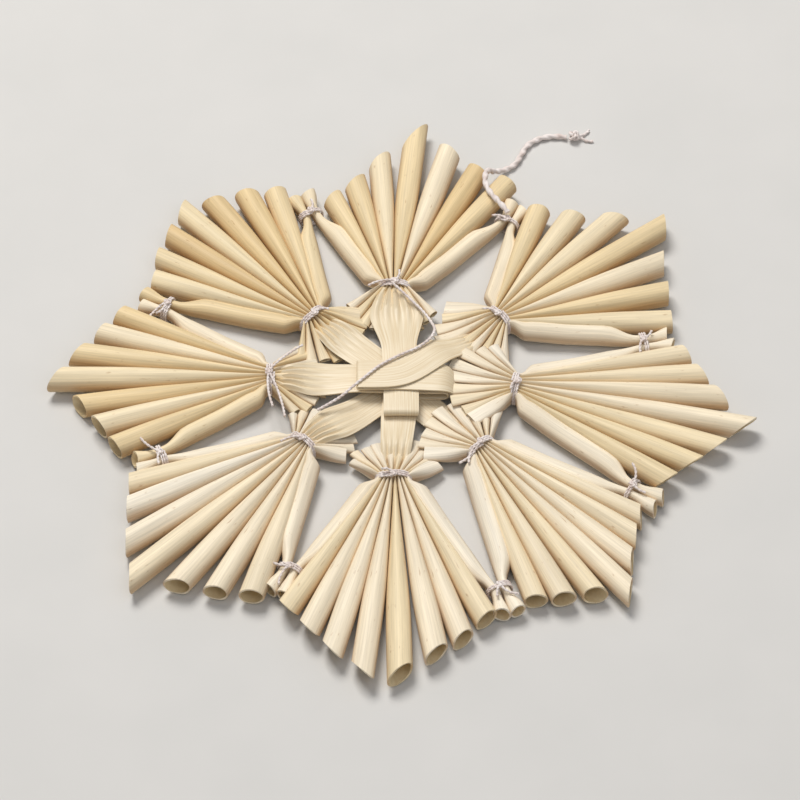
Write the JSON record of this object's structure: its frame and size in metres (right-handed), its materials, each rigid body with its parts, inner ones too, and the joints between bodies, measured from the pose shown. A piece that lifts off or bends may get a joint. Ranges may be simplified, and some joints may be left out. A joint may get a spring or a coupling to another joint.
{
  "type": "straw ornament",
  "caption": "Flat star-shaped hanging ornament of natural straw fans round a woven straw centre, tied with thread.",
  "frame": {"origin": "middle of the underside of the star, without its hanging thread", "axes": "+Z out of the star's front, +Y along its north arm, towards the hanging thread"},
  "size_m": [0.1052, 0.1109, 0.0054],
  "materials": {
    "straw": "natural dried rye straw, satin, pale gold",
    "flattened_straw": "soaked and ironed rye straw, satin, pale cream",
    "thread": "twisted white cotton thread, matt"
  },
  "bodies": {
    "root": {"fan_east": "straw", "fan_north_east": "straw", "fan_north": "straw", "fan_north_west": "straw", "fan_west": "straw", "fan_south_west": "straw", "fan_south": "straw", "fan_south_east": "straw", "folded_straw_north": "flattened_straw", "folded_straw_east": "flattened_straw", "folded_straw_south": "flattened_straw", "folded_straw_west": "flattened_straw", "neck_thread_east": "thread", "neck_thread_north_east": "thread", "neck_thread_north": "thread", "neck_thread_north_west": "thread", "neck_thread_west": "thread", "neck_thread_south_west": "thread", "neck_thread_south": "thread", "neck_thread_south_east": "thread", "tie_thread_east_to_north_east": "thread", "tie_thread_north_east_to_north": "thread", "tie_thread_north_to_north_west": "thread", "tie_thread_north_west_to_west": "thread", "tie_thread_west_to_south_west": "thread", "tie_thread_south_west_to_south": "thread", "tie_thread_south_to_south_east": "thread", "tie_thread_south_east_to_east": "thread", "hanging_thread": "thread", "hanging_thread_knot": "thread", "loose_thread_end": "thread"}
  },
  "joints": []
}
